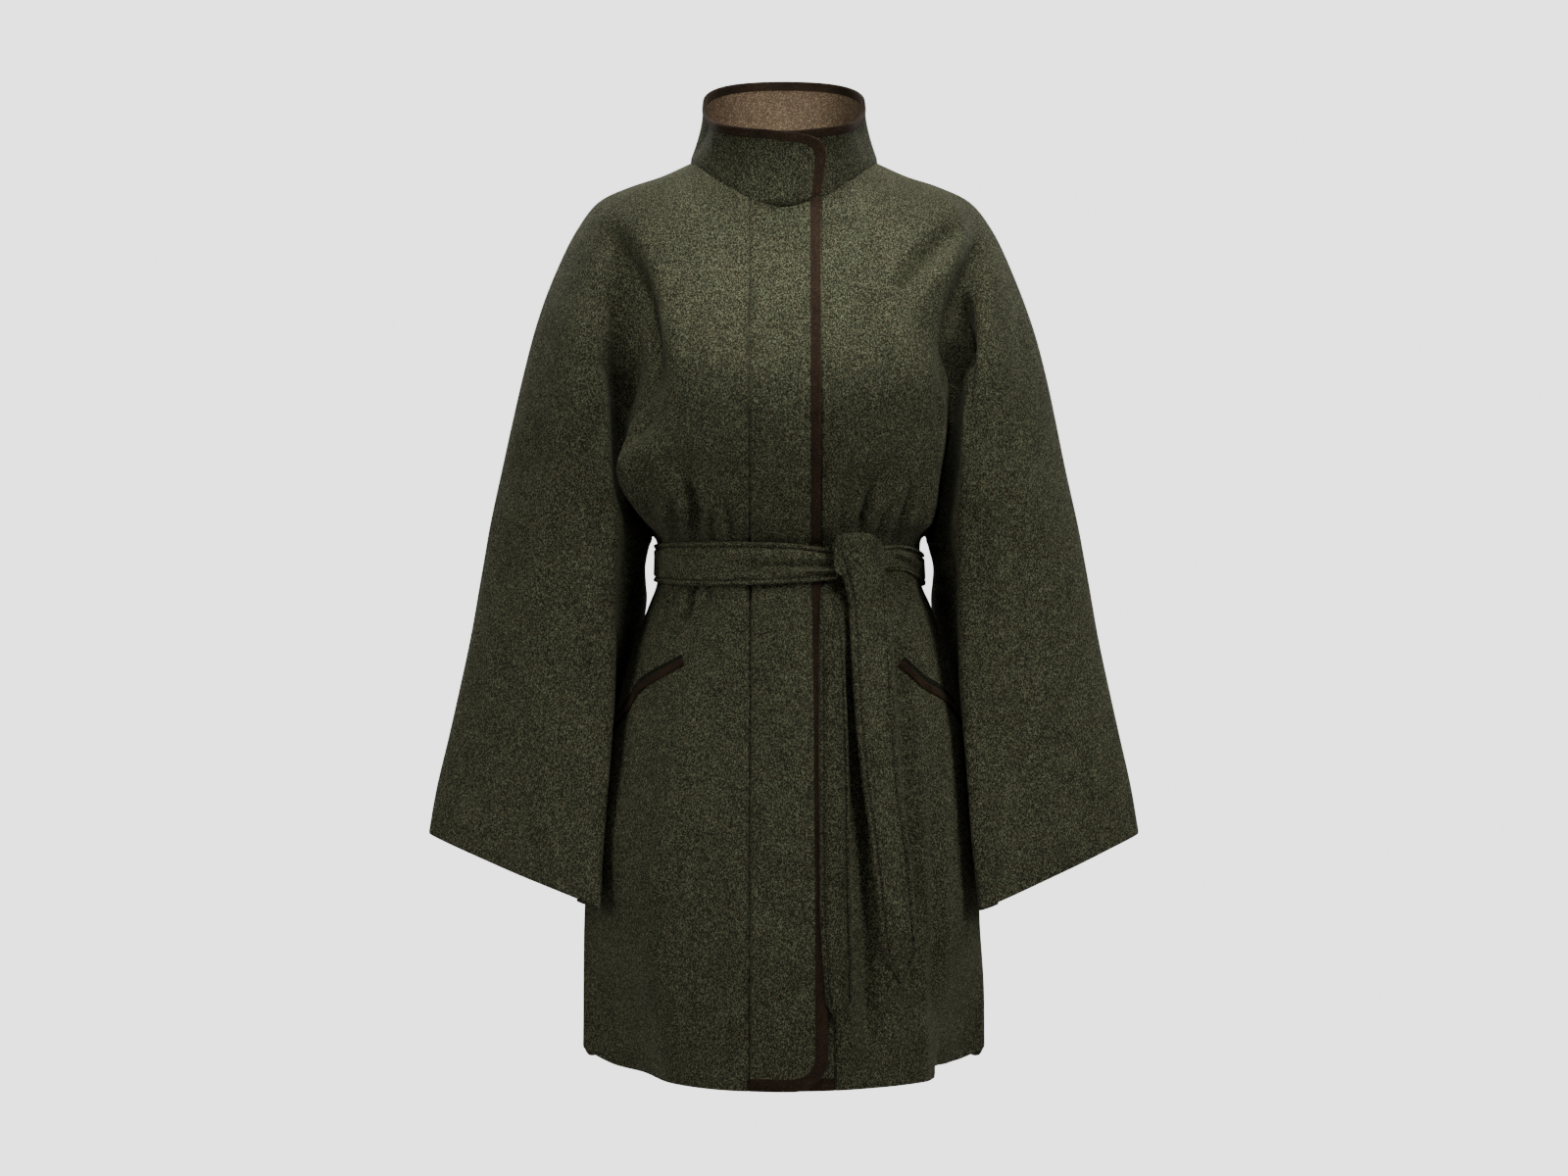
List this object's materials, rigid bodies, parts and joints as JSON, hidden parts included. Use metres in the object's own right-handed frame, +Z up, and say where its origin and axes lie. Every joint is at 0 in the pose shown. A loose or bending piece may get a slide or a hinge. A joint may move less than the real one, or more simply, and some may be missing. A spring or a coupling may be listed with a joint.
{
  "type": "loden cape",
  "caption": "Worn loden cape-coat with wide sleeves cut in one with the body, stand collar, suede-bound lapped front, slanted welt pockets and a tied belt.",
  "frame": {"origin": "base of the neck, midway between the two shoulder seams, where a wearer or a form carries the garment", "axes": "+Z up, -Y to the front of the garment, +X to the wearer's left"},
  "size_m": [0.724, 0.3059, 1.0148],
  "materials": {
    "loden": "matt milled wool with a short nap",
    "collar_facing": "matt brown melange wool",
    "suede": "matt suede"
  },
  "bodies": {
    "root": {"front_right": "loden", "front_left": "loden", "back": "loden", "placket_right": "loden", "placket_left": "loden", "binding_front_right": "suede", "binding_front_left": "suede", "collar": "loden", "collar_facing": "collar_facing", "binding_collar": "suede", "pocket_band_right": "suede", "pocket_facing_right": "loden", "pocket_band_left": "suede", "pocket_facing_left": "loden", "belt_band": "loden", "belt_knot": "loden", "belt_tail_over": "loden", "belt_tail_under": "loden"}
  },
  "joints": []
}
